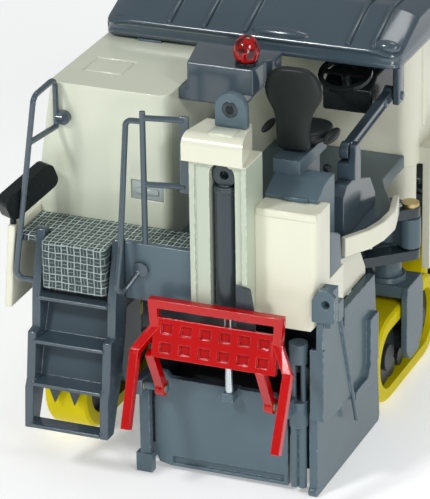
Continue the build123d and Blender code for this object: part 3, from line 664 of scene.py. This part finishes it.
# %% Castings with soft edges
SOFTENED = [
    # radius in mm, sharpest angle left alone in degrees, solids
    (0.40, 30, "engine_hood"),
    (0.34, 50, "mast"),
    (0.34, 40, "water_tank"),
    (0.30, 50, "mirror"),
    (0.30, 40, "front_body"),
    (0.30, 35, "seat_pedestal steering_console"),
    (0.26, 30, "left_skirt"),
    (0.24, 35, "extraction_box"),
    (0.22, 50, "platform_deck"),
    (0.22, 40, "plate_cover"),
    (0.22, 35, "side_console"),
    (0.20, 40, "operator_floor conveyor_bracket"),
    (0.20, 40, "leg_front_left leg_front_right leg_rear_left leg_rear_right"),
    (0.18, 40, "swing_arm swing_bracket"),
    (0.16, 40, "side_panel left_guide"),
    (0.16, 35, "scraper_plate"),
    (0.15, 40, "mast_foot drum_housing"),
    (0.14, 40, "side_plate_right side_plate_left canopy_posts"),
    (0.12, 40, "guard_band right_guide"),
    (0.10, 40, "canopy_arms"),
]


def soften(name, radius, sharp):
    bm = bmesh.new()
    bm.from_mesh(nodes[name].data)
    bmesh.ops.remove_doubles(bm, verts=bm.verts, dist=0.002 * MM)
    bmesh.ops.dissolve_limit(bm, angle_limit=math.radians(0.5), verts=bm.verts, edges=bm.edges)
    paired = [edge for edge in bm.edges if len(edge.link_faces) == 2]
    round_edges(bm, crisp_edges(paired, sharp), radius)
    made = piece(name + "_cast", bm, coat_of(name), name, sharp=60, weighted=True)
    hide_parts(name)
    return made


softened = [soften(name, radius, sharp) for radius, sharp, names in SOFTENED for name in names.split()]
print("castings with soft edges:", len(softened))
print("their faces:", sum(len(made.data.polygons) for made in softened))

# %% [markdown]
# ## The ladder
# The ladder is pressed thin: slim treads that catch the light on their front edge, closed backs behind
# the upper two, and a cheek each side whose outline steps back at every tread. It could be cut out of a
# block, but sheet metal is easier to build as it is made. Cheeks, treads and backs are outlines pushed
# sideways, and one bevel rounds every edge.

# %% The ladder
CHEEK = 1.0             # width of a cheek, mm
TREAD = 0.45            # thickness of a tread, mm
SHEET = 0.3             # thickness of a closed back, mm
TUCKED = 0.2            # how far the treads reach into the cheeks, mm
BACK_DROP = 0.1         # how far a back starts below its tread's top, mm
TREADS = [
    # lip, back, top (mm)
    (-8.3, -5.0, 20.9), (-9.5, -6.8, 16.3), (-10.5, -8.2, 11.75), (-11.1, -9.4, 7.1),
]
CHEEK_OUTLINE = [
    (-5.9, 27.6), (-7.6, 21.4), (-8.0, 17.2), (-9.1, 17.0), (-9.8, 11.9), (-10.3, 11.0), (-10.7, 6.4),
    (-9.0, 6.4), (-6.6, 12.0), (-5.2, 16.5), (-4.4, 21.4), (-4.4, 27.0), (-4.9, 27.6),
]


def make_ladder():
    low, high = span("ladder")
    bm = bmesh.new()
    for x in (low.x, high.x - CHEEK):
        prism(bm, [at(x, y, z) for y, z in CHEEK_OUTLINE], (CHEEK, 0, 0))
    left, width = low.x + CHEEK - TUCKED, high.x - low.x - 2 * (CHEEK - TUCKED)
    for lip, back, top in TREADS:
        tread_outline = [(lip, top), (back + SHEET, top), (back + SHEET, top - TREAD), (lip, top - TREAD)]
        prism(bm, [at(left, y, z) for y, z in tread_outline], (width, 0, 0))
    for (_, back, top), (_, next_back, next_top) in zip(TREADS[:2], TREADS[1:3]):
        upper, lower = top - BACK_DROP, next_top - BACK_DROP
        back_outline = [(back, upper), (back + SHEET, upper), (next_back + SHEET, lower), (next_back, lower)]
        prism(bm, [at(left, y, z) for y, z in back_outline], (width, 0, 0))
    bmesh.ops.recalc_face_normals(bm, faces=bm.faces)
    round_edges(bm, crisp_edges(bm.edges, 30), 0.14)
    ladder = piece("pressed_ladder", bm, roof_grey, "ladder", sharp=60, weighted=True)
    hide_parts("ladder")
    return ladder


print("ladder faces:", len(make_ladder().data.polygons))

# %% [markdown]
# ## The seat
# On the real machine the seat is a padded shell; on the model it is one black moulding with a slim
# back that swells into a headrest. Sculpting would give that shape too, but not the same one twice. It
# is lofted by extruding one section upwards again and again, each time scaled to the next row of a
# short table, and then subdivided, which gives the crowned faces.

# %% The seat's sections
SEAT_X = 10.3
BACK = [
    # height, half width, rear face, front face (mm)
    (35.9, 1.8, 4.5, 5.7), (36.2, 1.95, 4.4, 5.8), (39.2, 1.95, 4.4, 5.7), (40.4, 2.4, 4.4, 5.75),
    (41.2, 3.1, 4.45, 5.9), (42.4, 3.45, 4.5, 6.0), (43.6, 3.1, 4.5, 5.9), (44.6, 2.3, 4.6, 5.8),
    (45.0, 1.3, 4.8, 5.6),
]
CUSHION = [(36.0, 2.6, 5.9, 11.0), (36.4, 3.0, 5.7, 11.3), (37.1, 3.0, 5.7, 11.3), (37.5, 2.5, 6.0, 10.8)]
ARMRESTS = [((13.1, 4.7, 36.4), (14.5, 9.6, 37.7)), ((6.3, 4.7, 36.9), (7.3, 9.2, 37.9))]


def loft(bm, middle, rows):
    """A closed form through level sections, by extruding and scaling one section."""
    height, half, rear, front = rows[0]
    section = bmesh.ops.create_grid(bm, x_segments=2, y_segments=1, size=1)["verts"]
    bmesh.ops.scale(bm, vec=(half * MM, (front - rear) / 2 * MM, 1), verts=section)
    bmesh.ops.translate(bm, vec=at(middle, (rear + front) / 2, height), verts=section)
    faces = list({face for vert in section for face in vert.link_faces})
    for (z0, half0, rear0, front0), (z1, half1, rear1, front1) in zip(rows, rows[1:]):
        made = bmesh.ops.extrude_face_region(bm, geom=faces)["geom"]
        if z0 > height:     # the first section stays as the form's underside
            bmesh.ops.delete(bm, geom=faces, context="FACES")
        verts = [part for part in made if isinstance(part, bmesh.types.BMVert)]
        faces = [part for part in made if isinstance(part, bmesh.types.BMFace)]
        old = Matrix.Translation(at(middle, (rear0 + front0) / 2, z0))
        new = Matrix.Translation(at(middle, (rear1 + front1) / 2, z1))
        growth = Matrix.Diagonal((half1 / half0, (front1 - rear1) / (front0 - rear0), 1, 1))
        bmesh.ops.transform(bm, matrix=new @ growth @ old.inverted(), verts=verts)


print("sections in the seat:", len(BACK) + len(CUSHION))

# %% [markdown]
# ## The seat as one moulding
# Back, cushion and armrests could be separate objects, but the model's seat is a single moulding. They
# go into one mesh, and one Subdivision Surface rounds them all.

# %% The seat as one moulding


def make_seat():
    bm = bmesh.new()
    loft(bm, SEAT_X, BACK)
    loft(bm, SEAT_X, CUSHION)
    for low, high in ARMRESTS:
        slab(bm, low, high)
    seat = piece("operator_seat", bm, seat_black, "seat", sharp=180)
    rounding = seat.modifiers.new("crowned", "SUBSURF")
    rounding.levels = rounding.render_levels = 3
    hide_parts("seat")
    return seat


print("seat:", [round(value / MM, 1) for value in make_seat().dimensions])

# %% [markdown]
# ## The roof's shell
# The folded canopy is a thin moulding, glossy on top, with a coved rear rim, a bead along the rim's top
# edge and ends that fall a little. A sheet bent by hand is hard to keep straight, so the shell is a
# prism of one profile with its bottom taken away, its corners rounded, and a wall given by a Solidify
# modifier. The cove and the fall come last, on rows of edges that are cut where they are needed.

# %% The roof's shell
roof_low, roof_high = span("canopy")
LEFT, RIGHT = roof_low.x, roof_high.x
REAR, FRONT = roof_low.y, roof_high.y
RIM_LOW, RIM_HIGH, ROOF_TOP = 42.4, 44.3, 46.9
SLOPE_END = REAR + 7.0
FRONT_BEND = FRONT - 3
FRONT_EDGE = ROOF_TOP - 1.6
CORNER, BEAD, WALL = 1.5, 0.5, 0.9
COVE = ((43.0, 0.10), (43.5, 0.24), (43.95, 0.10))      # height, how far the rim is hollowed
DROOP = 0.8             # how far the roof falls at its two ends
DROOP_WIDTH = 3.6
DROOP_CUTS = (0.9, 1.8, 2.7, DROOP_WIDTH)


def cut(bm, point, way):
    """A new row of edges where a plane passes through the form."""
    everything = bm.verts[:] + bm.edges[:] + bm.faces[:]
    return bmesh.ops.bisect_plane(bm, geom=everything, dist=1e-7, plane_co=point, plane_no=way)["geom_cut"]


def roof_block():
    """The profile, pushed across, open below and with round corners."""
    bm = bmesh.new()
    outline = [(REAR, RIM_LOW), (REAR, RIM_HIGH), (SLOPE_END, ROOF_TOP), (FRONT_BEND, ROOF_TOP),
               (FRONT, FRONT_EDGE), (FRONT, RIM_LOW)]
    prism(bm, [at(LEFT, y, z) for y, z in outline], (RIGHT - LEFT, 0, 0))
    bottom = [face for face in bm.faces if all(abs(vert.co.z - RIM_LOW * MM) < 1e-6 for vert in face.verts)]
    bmesh.ops.delete(bm, geom=bottom, context="FACES")
    upright = []
    for edge in bm.edges:
        reach = edge.verts[0].co - edge.verts[1].co
        if not edge.is_boundary and abs(reach.z) > 1.2 * MM and abs(reach.y) < 0.1 * MM:
            upright.append(edge)
    round_edges(bm, upright, CORNER, 4)
    inner = [edge for edge in bm.edges if not edge.is_boundary]
    round_edges(bm, crisp_edges(inner, 18), BEAD, 3)
    return bm


def hollow_rim(bm):
    behind = at(0, REAR + 1, 0).y
    for height, inset in COVE:
        made = cut(bm, (0, 0, height * MM), (0, 0, 1))
        ring = [part for part in made if isinstance(part, bmesh.types.BMVert) and part.co.y < behind]
        bmesh.ops.translate(bm, vec=(0, inset * MM, 0), verts=ring)


def let_ends_fall(bm):
    for side, end in ((-1, LEFT), (1, RIGHT)):
        for reach in DROOP_CUTS:
            cut(bm, at(end - side * reach, 0, 0), (1, 0, 0))
        for vert in bm.verts:
            past = max(0, 1 - abs(vert.co.x - at(end, 0, 0).x) / (DROOP_WIDTH * MM))
            height = min(1, (vert.co.z / MM - RIM_LOW) / (RIM_HIGH - RIM_LOW))
            vert.co.z -= DROOP * MM * past ** 2 * height


def roof_shell():
    bm = roof_block()
    hollow_rim(bm)
    let_ends_fall(bm)
    shell = piece("roof_shell", bm, roof_grey, "canopy", sharp=50)
    wall = shell.modifiers.new("wall", "SOLIDIFY")
    wall.thickness = WALL * MM
    wall.offset = -1
    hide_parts("canopy")
    return shell


print("roof:", [round(value / MM, 1) for value in roof_shell().dimensions])

# %% [markdown]
# ## Ribs and blisters
# Low ribs run up the roof's apron and over its top, and two shallow blisters sit on the edge. They
# could be cut into the shell, but then its wall would follow them. On the model they are as thin as a
# line, so each is a small rounded bar or a flattened dome, sunk into the shell.

# %% Ribs and blisters
RIBS = (-7.7, -3.6, 1.1, 12.8, 15.6)
RIB_WIDTH, RIB_HEIGHT = 0.5, 0.8
BLISTERS = [(5.0, 3.4), (17.0, 1.5)]    # middle and half length along x
BLISTER_DEPTH, BLISTER_HEIGHT = 0.75, 0.7


def scaled(x, y, z):
    return Matrix.Diagonal((x * MM, y * MM, z * MM, 1))


def roof_ribs():
    bm = bmesh.new()
    climb = math.atan2(ROOF_TOP - RIM_HIGH, SLOPE_END - REAR)
    runs = [((REAR + 0.25, RIM_HIGH + 0.1), (SLOPE_END, ROOF_TOP), climb),
            ((SLOPE_END, ROOF_TOP), (FRONT_BEND, ROOF_TOP), 0)]
    for x in RIBS:
        for (y0, z0), (y1, z1), tilt in runs:
            place = Matrix.Translation(at(x, (y0 + y1) / 2, (z0 + z1) / 2)) @ Matrix.Rotation(tilt, 4, "X")
            size = scaled(RIB_WIDTH, math.hypot(y1 - y0, z1 - z0), RIB_HEIGHT)
            rib = bmesh.ops.create_cube(bm, size=1, matrix=place @ size)["verts"]
            round_edges(bm, edges_of(rib), 0.16)
    for x, half in BLISTERS:
        place = Matrix.Translation(at(x, REAR + 0.9, RIM_HIGH + 0.25)) @ Matrix.Rotation(climb, 4, "X")
        size = scaled(half, BLISTER_DEPTH, BLISTER_HEIGHT)
        bmesh.ops.create_uvsphere(bm, u_segments=24, v_segments=12, radius=1, matrix=place @ size)
    return piece("roof_ribs", bm, roof_grey, "canopy")


print("rib faces:", len(roof_ribs().data.polygons))

# %% [markdown]
# ## Hangers
# Two straps hang from the roof and hold it on its arms by a pin each. Made as part of the arms, they
# would turn with them. They ride with the roof, so the arms turn in them when the roof is raised.

# %% Hangers
ARM_PINS = [14.4, -0.6]
PIN_Y, PIN_Z = 23.6, 35.85
STRAP, STRAP_HALF = 0.8, 0.9    # thickness and half width, mm


def roof_hangers():
    bm = bmesh.new()
    for x in ARM_PINS:
        inner = x + 0.65
        low = (inner, PIN_Y - STRAP_HALF, PIN_Z - STRAP_HALF)
        high = (inner + STRAP, PIN_Y + STRAP_HALF, ROOF_TOP - 0.8)
        round_edges(bm, edges_of(slab(bm, low, high)), 0.2)
        pin(bm, (x - 0.6, PIN_Y, PIN_Z), (inner + 1.0, PIN_Y, PIN_Z), 0.48)
    return piece("roof_hangers", bm, roof_grey, "canopy")


print("hanger height:", round(roof_hangers().dimensions.z / MM, 1))

# %% [markdown]
# ## The rotating lamp
# A turned base holds the ruby dome. Inside stands a small bright reflector, which is what sparkles
# through the plastic. All three are round, so each is one profile spun round an upright; a squeezed
# sphere would miss the dome's straight foot.

# %% The rotating lamp
LAMP_SPOT = (5.3, 4.6)
LAMP_SEAT = 44.95
LAMP_PARTS = [
    # name, radius and height of each point of the profile, finish
    ("lamp_base", [(0, 0), (1.2, 0), (1.2, 0.35), (0.9, 0.45), (0, 0.45)], black),
    ("lamp_reflector", [(0, 0.5), (0.55, 0.5), (0.35, 1.2), (0.6, 2.0), (0, 2.2)], pewter),
    ("lamp_dome", [(0, 0.46), (1.15, 0.46), (1.36, 0.9), (1.43, 1.5), (1.32, 2.1), (1.0, 2.7), (0.55, 3.08),
                   (0, 3.2)], ruby),
]


def lamp_part(name, profile, material):
    bm = bmesh.new()
    turned(bm, LAMP_SPOT, [(radius, LAMP_SEAT + height) for radius, height in profile])
    return piece(name, bm, material, "beacon")


base, reflector, dome = (lamp_part(*row) for row in LAMP_PARTS)
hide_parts("beacon")
print("lamp height:", round(dome.dimensions.z / MM, 2))

# %% [markdown]
# ## Latches and hinges
# The hood's flap has a pressed dish with a pull in it, the lid two flat hinges, and the tank a small
# folding latch and a lip under its lid. Cut into the castings they would need fine edges all round, so
# they are laid on: blocks with rounded edges, a few to each fitting.

# %% Latches and hinges
FITTINGS = [
    # name, finish, solid whose body it shares, rounding, blocks from corner to corner
    ("hood_dish", latch_grey, "extraction_box", 0.08, [((-6.15, 0.12, 29.95), (-2.55, 0.32, 32.05))]),
    ("hood_pull", latch_grey, "extraction_box", 0.16, [((-5.7, -0.12, 30.55), (-3.0, 0.3, 31.25))]),
    ("lid_hinges", grey, "extraction_box", 0.1, [((-11.4, 14.4, 41.95), (-8.6, 15.0, 42.25)),
                                                 ((-11.4, 22.0, 41.95), (-8.6, 22.6, 42.25))]),
    ("tank_latch", grey, "extraction_box", 0.12, [((11.5, -1.15, 32.75), (14.2, -0.75, 33.15)),
                                                  ((11.9, -1.05, 31.6), (13.8, -0.72, 32.8))]),
    ("tank_lip", cream, "water_tank", 0.2, [((9.4, -3.78, 31.75), (16.15, -3.3, 32.64))]),
]


def small_blocks(name, material, like, radius, blocks):
    bm = bmesh.new()
    for low, high in blocks:
        round_edges(bm, edges_of(slab(bm, low, high)), radius)
    return piece(name, bm, material, like)


fittings = [small_blocks(*row) for row in FITTINGS]
print("fittings:", [fitting.name for fitting in fittings])

# %% [markdown]
# ## The control lever
# A thin lever with a round knob leans out of the side console. A curve with a thickness would do for
# the stalk, but a straight bar is already at hand. Stalk and knob are moulded in one, so they are one
# mesh in one finish.

# %% The control lever
LEVER = ((13.3, 7.0, 31.4), (13.5, 6.6, 33.3))
KNOB, KNOB_RADIUS = (13.53, 6.55, 33.6), 0.48


def control_lever():
    bm = bmesh.new()
    pin(bm, *LEVER, 0.18, 12)
    bmesh.ops.create_uvsphere(bm, u_segments=20, v_segments=12, radius=KNOB_RADIUS * MM,
                              matrix=Matrix.Translation(at(*KNOB)))
    return piece("control_lever", bm, black, "side_console")


print("lever height:", round(control_lever().dimensions.z / MM, 1))

# %% [markdown]
# ## The lug on the mast
# A flat lug with a round head and a pin through it stands on the mast behind the cap, and a small tab
# lies on the cap. A cylinder joined to a block would leave a seam where they meet, so the lug is one
# outline. One point is spun round the pin for the head, two corners close it below, and the face
# between them is pushed through and rounded along its rims.

# %% The lug on the mast
LUG_HALF, LUG_INSET, ARC_STEPS = 1.75, 0.2, 16
CAP_TAB = ((5.0, span("mast")[0].y + 0.9, 40.6), (7.7, -3.45, 41.0))


def top_lug():
    low, high = span("mast_clevis")
    middle, tip = (low.x + high.x) / 2, high.z - LUG_HALF
    rear, front = low.y + LUG_INSET, high.y - LUG_INSET
    bm = bmesh.new()
    start = bm.verts.new(at(middle + LUG_HALF, rear, tip))
    bmesh.ops.spin(bm, geom=[start], cent=at(middle, rear, tip), axis=(0, -1, 0), angle=math.pi,
                   steps=ARC_STEPS)
    head = list(bm.verts)
    feet = [bm.verts.new(at(middle + side * LUG_HALF, rear, low.z)) for side in (-1, 1)]
    push(bm, feet + head, (0, front - rear, 0))
    round_edges(bm, crisp_edges(bm.edges, 57), 0.18)
    lug = piece("top_lug", bm, grey, "mast_clevis", weighted=True)
    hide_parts("mast_clevis")
    # the black disc is painted shade where the pin's hole is
    for name, material, radius, proud, sides in (("top_lug_pin", dark_grey, 0.95, 0.06, 28),
                                                 ("top_lug_hole_shade", black, 0.5, 0.1, 24)):
        bm = bmesh.new()
        pin(bm, (middle, rear - proud, tip), (middle, front + proud, tip), radius, sides)
        piece(name, bm, material, "mast_clevis")
    return lug


small_blocks("cap_tab", shaded_cream, "mast", 0.12, [CAP_TAB])
print("lug height:", round(top_lug().dimensions.z / MM, 1))

# %% [markdown]
# ## Pin heads and a plated rod
# The bracket turns on brass pins whose heads show at its lugs, and a thin plated rod works the swing
# gear under the operator's floor. The solids have neither, because they carry nothing there. A head
# could be a disc of paint, but it catches the light on its rim, so each is a flat bar with soft rims.

# %% Pin heads and a plated rod
BRACKET_AXIS = (-5.2, 10.9)             # y and z
HEAD_X = (-0.42, 11.98, -2.89)
HEAD_RADIUS, HEAD_DEPTH = 0.55, 0.12
SWING_ROD = ((15.7, 24.1, 22.65), (13.2, 20.4, 22.65))


def pin_heads():
    bm = bmesh.new()
    for x in HEAD_X:
        pin(bm, (x, *BRACKET_AXIS), (x + HEAD_DEPTH, *BRACKET_AXIS), HEAD_RADIUS)
    return piece("pin_heads", bm, brass, "swing_screw")


def swing_rod():
    bm = bmesh.new()
    pin(bm, *SWING_ROD, 0.28)
    return piece("swing_rod", bm, chrome, "lift_rod", body="machine")


print("bright parts:", [bright.name for bright in (pin_heads(), swing_rod())])

# %% [markdown]
# ## The toothed guard
# Behind the left rear crawler a dark guard hangs from the leg's yoke. Its lower edge is cut in teeth,
# which show through the ladder's lowest gap. Teeth could be added one by one, but as one outline they
# stay in line. It is extruded, and a shelf carries it.

# %% The toothed guard
GUARD_LEFT, GUARD_RIGHT, GUARD_TOP = -16.6, -11.9, 11.35
GUARD_REAR, GUARD_FRONT, GUARD_SHEET = -1.0, 9.0, 0.45
TEETH = 2
TOOTH_TIP, TOOTH_ROOT = 4.6, 7.6


def track_guard():
    width = (GUARD_RIGHT - GUARD_LEFT) / TEETH
    outline = [(GUARD_RIGHT, GUARD_TOP), (GUARD_LEFT, GUARD_TOP), (GUARD_LEFT, TOOTH_ROOT)]
    for tooth in range(TEETH):
        start = GUARD_LEFT + tooth * width
        outline += [(start + 0.45 * width, TOOTH_TIP), (start + width, TOOTH_ROOT)]
    bm = bmesh.new()
    prism(bm, [at(x, GUARD_REAR, z) for x, z in outline], (0, GUARD_SHEET, 0))
    slab(bm, (GUARD_LEFT, GUARD_REAR + 0.1, GUARD_TOP - 0.4), (GUARD_RIGHT, GUARD_FRONT, GUARD_TOP))
    return piece("track_guard", bm, dark_grey, "leg_rear_left")


print("guard faces:", len(track_guard().data.polygons))

# %% [markdown]
# ## Service doors
# The machine's sides have flat service doors with rounded corners and a small latch. A groove round
# each door would have to be cut into the body; a thin slab that stands a hair proud of the wall shows
# the same edge. Its four corners are rounded first and its rim afterwards. The hood's side leans, so
# its doors are sheared.

# %% Service doors
WALL_LEAN = 0.156       # how far the hood's side leans in for each mm of height
DOOR_PROUD, LATCH_PROUD, SUNK = 0.16, 0.28, 0.1
LATCH_WIDTH, LATCH_HEIGHT, LATCH_RISE = 0.9, 0.35, 2.0      # half sizes, and height over the middle
HOOD_DOORS = [
    # wall's x at the door's foot, side, lean, y from and to, z from and to
    (-17.14, -1, WALL_LEAN, 1.8, 14.8, 31.5, 40.0), (-17.14, -1, WALL_LEAN, 16.0, 29.6, 31.5, 40.0),
]
BODY_DOORS = [(side * 14.6, side, 0, y0, y1, 27.8, 39.2)
              for side in (-1, 1) for y0, y1 in ((34.2, 47.4), (48.8, 62.0))]


def run_across(edge):
    """How far an edge runs across the machine, in mm."""
    return abs(edge.verts[0].co.x - edge.verts[1].co.x) / MM


def lean_in(bm, wall, foot, side, proud, lean):
    """Lays a block on its wall, sunk on the inside and proud on the outside, and shears it."""
    for vert in bm.verts:
        outward = (vert.co.x - wall) * side > 0
        vert.co.x = wall + side * (proud if outward else -SUNK) * MM + (vert.co.z - foot) * lean


def door_slab(bm, door, proud, corner):
    x, side, lean, y0, y1, z0, z1 = door
    single = bmesh.new()
    slab(single, (x - SUNK, y0, z0), (x + SUNK, y1, z1))
    round_edges(single, [edge for edge in single.edges if run_across(edge) > 0.1], corner, 5)
    rim = [edge for edge in single.edges if run_across(edge) < 0.01]
    lean_in(single, at(x, 0, 0).x, z0 * MM, side, proud, lean)
    round_edges(single, rim, min(0.08, proud / 2))
    scrap = bpy.data.meshes.new("scrap")
    single.to_mesh(scrap)
    single.free()
    bm.from_mesh(scrap)
    bpy.data.meshes.remove(scrap)


def service_doors(name, rows, material):
    doors, latches = bmesh.new(), bmesh.new()
    for door in rows:
        x, side, lean, y0, y1, z0, z1 = door
        door_slab(doors, door, DOOR_PROUD, 0.9)
        middle = (y0 + y1) / 2
        low, high = ((z0 + z1) / 2 + LATCH_RISE + way * LATCH_HEIGHT for way in (-1, 1))
        latch = (x + (low - z0) * lean, side, lean, middle - LATCH_WIDTH, middle + LATCH_WIDTH, low, high)
        door_slab(latches, latch, LATCH_PROUD, 0.25)
    piece(name + "_doors", doors, material, "front_body")
    piece(name + "_latches", latches, pewter, "front_body")


service_doors("hood", HOOD_DOORS, shaded_cream)
service_doors("body", BODY_DOORS, cream)
print("doors:", len(HOOD_DOORS) + len(BODY_DOORS))

# %% [markdown]
# ## Work lamps and filler cap
# Two round work lamps stand beside the grille, each a dark bezel with a lens that stands out of it, and
# a filler cap lies on the roof of the front body. The lamps lie on their side and need two sizes of bar
# only; the cap has a flange and a grip, so it is turned from a profile.

# %% Work lamps and filler cap
front_face, body_top = span("front_body")[1].yz
LAMP_X, LAMP_Z = (-11.4, 11.4), 35.6
CAP_SPOT = (-8.5, 56.0)
CAP = [(0, -0.1), (1.5, -0.1), (1.5, 0.25), (1.2, 0.3), (1.15, 0.7), (1.0, 0.8), (0, 0.8)]


def work_lamps():
    for name, material, back, proud, radius in (("lamp_bezels", dark_grey, 0.2, 0.35, 1.0),
                                                ("lamp_lenses", pewter, 0, 0.45, 0.72)):
        bm = bmesh.new()
        for x in LAMP_X:
            pin(bm, (x, front_face - back, LAMP_Z), (x, front_face + proud, LAMP_Z), radius, 32)
        piece(name, bm, material, "front_body")


def filler_cap():
    bm = bmesh.new()
    turned(bm, CAP_SPOT, [(radius, body_top + height) for radius, height in CAP])
    return piece("filler_cap", bm, dark_grey, "front_body")


work_lamps()
filler_cap()

# %% [markdown]
